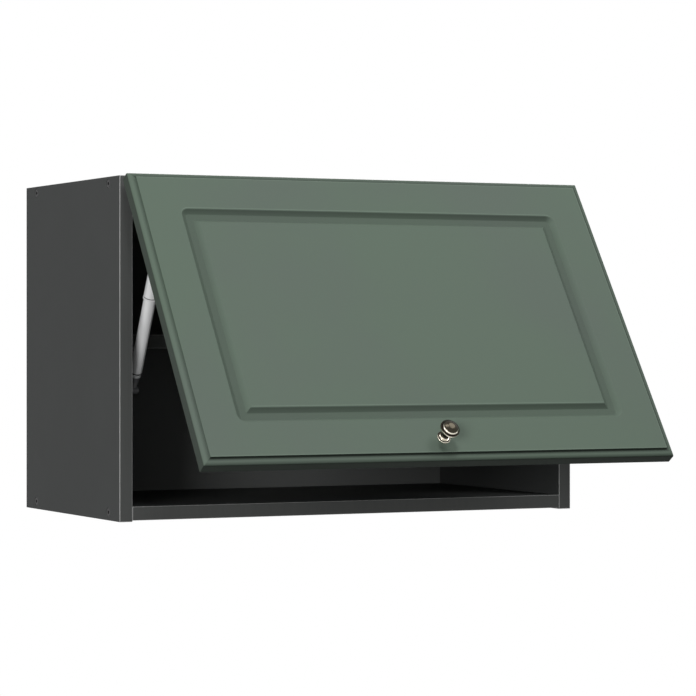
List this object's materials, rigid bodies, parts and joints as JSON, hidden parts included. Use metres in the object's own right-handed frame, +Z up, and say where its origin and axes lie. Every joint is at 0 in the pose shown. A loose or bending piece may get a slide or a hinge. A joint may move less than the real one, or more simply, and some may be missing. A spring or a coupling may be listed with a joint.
{
  "type": "lift up wall cabinet",
  "caption": "Wide wall cabinet with a shelf and one profiled front that lifts up on concealed hinges, held by gas struts, with a round knob.",
  "frame": {"origin": "on the wall plane, midway between the sides, level with the lower ends of the side panels", "axes": "+X along the width, +Y into the wall (the front looks along -Y), +Z up"},
  "size_m": [0.6, 0.5749, 0.4012],
  "materials": {
    "carcass_board": "satin graphite melamine on chipboard",
    "back_board": "dark faced hardboard",
    "front_lacquer": "satin sage green film on medium density fibreboard",
    "aged_brass": "antiqued, polished on the edges",
    "plated_steel": "nickel plated",
    "dark_zinc": "dark zinc",
    "white_paint": "light satin paint",
    "grey_plastic": "moulded",
    "clear_rubber": "clear soft pad",
    "polished_rod": "polished"
  },
  "bodies": {
    "cabinet": {"left_side_panel": "carcass_board", "right_side_panel": "carcass_board", "top_panel": "carcass_board", "bottom_panel": "carcass_board", "back_panel": "back_board", "shelf": "carcass_board", "assembly_screw_left_lower_front": "dark_zinc", "assembly_screw_left_lower_rear": "dark_zinc", "assembly_screw_left_upper_front": "dark_zinc", "assembly_screw_left_upper_rear": "dark_zinc", "shelf_pin_left_front": "plated_steel", "shelf_pin_left_rear": "plated_steel", "hanging_plate_left": "plated_steel", "hinge_plate_left": "plated_steel", "hinge_arm_left": "plated_steel", "hinge_link_left": "plated_steel", "strut_side_bracket_left": "plated_steel", "assembly_screw_right_lower_front": "dark_zinc", "assembly_screw_right_lower_rear": "dark_zinc", "assembly_screw_right_upper_front": "dark_zinc", "assembly_screw_right_upper_rear": "dark_zinc", "shelf_pin_right_front": "plated_steel", "shelf_pin_right_rear": "plated_steel", "hanging_plate_right": "plated_steel", "hinge_plate_right": "plated_steel", "hinge_arm_right": "plated_steel", "hinge_link_right": "plated_steel", "strut_side_bracket_right": "plated_steel"},
    "front": {"front_leaf": "front_lacquer", "knob_rose": "aged_brass", "knob_head": "aged_brass", "knob_screw": "plated_steel", "hinge_cup_left": "plated_steel", "strut_front_bracket_left": "plated_steel", "bumper_left": "clear_rubber", "hinge_cup_right": "plated_steel", "strut_front_bracket_right": "plated_steel", "bumper_right": "clear_rubber"},
    "strut_rod_left": {"strut_upper_fitting_left": "grey_plastic", "strut_rod_left": "polished_rod", "strut_sleeve_left": "white_paint"},
    "strut_cylinder_left": {"strut_cylinder_left": "white_paint", "strut_lower_fitting_left": "grey_plastic"},
    "strut_rod_right": {"strut_upper_fitting_right": "grey_plastic", "strut_rod_right": "polished_rod", "strut_sleeve_right": "white_paint"},
    "strut_cylinder_right": {"strut_cylinder_right": "white_paint", "strut_lower_fitting_right": "grey_plastic"}
  },
  "joints": [
    {"name": "front_hinge", "type": "hinge", "parent": "cabinet", "child": "front", "pos_m": [0, -0.3305, 0.401], "axis": [-1, 0, 0], "range_deg": [-34.7, 40.3]},
    {"name": "strut_swing_left", "type": "hinge", "parent": "front", "child": "strut_rod_left", "pos_m": [-0.265, -0.36033, 0.32191], "axis": [1, 0, 0], "range_deg": [-30.5, 35.4]},
    {"name": "strut_stroke_left", "type": "slide", "parent": "strut_rod_left", "child": "strut_cylinder_left", "axis": [0, 0.4644, -0.8856], "range_m": [-0.0476, 0.0552]},
    {"name": "strut_swing_right", "type": "hinge", "parent": "front", "child": "strut_rod_right", "pos_m": [0.265, -0.36033, 0.32191], "axis": [1, 0, 0], "range_deg": [-30.5, 35.4]},
    {"name": "strut_stroke_right", "type": "slide", "parent": "strut_rod_right", "child": "strut_cylinder_right", "axis": [0, 0.4644, -0.8856], "range_m": [-0.0476, 0.0552]}
  ],
  "couplings": [
    {"joint": "strut_swing_left", "follows": "front_hinge", "ratio": 0.8766},
    {"joint": "strut_stroke_left", "follows": "front_hinge", "m_per_rad": 0.078341},
    {"joint": "strut_swing_right", "follows": "front_hinge", "ratio": 0.8766},
    {"joint": "strut_stroke_right", "follows": "front_hinge", "m_per_rad": 0.078341}
  ]
}
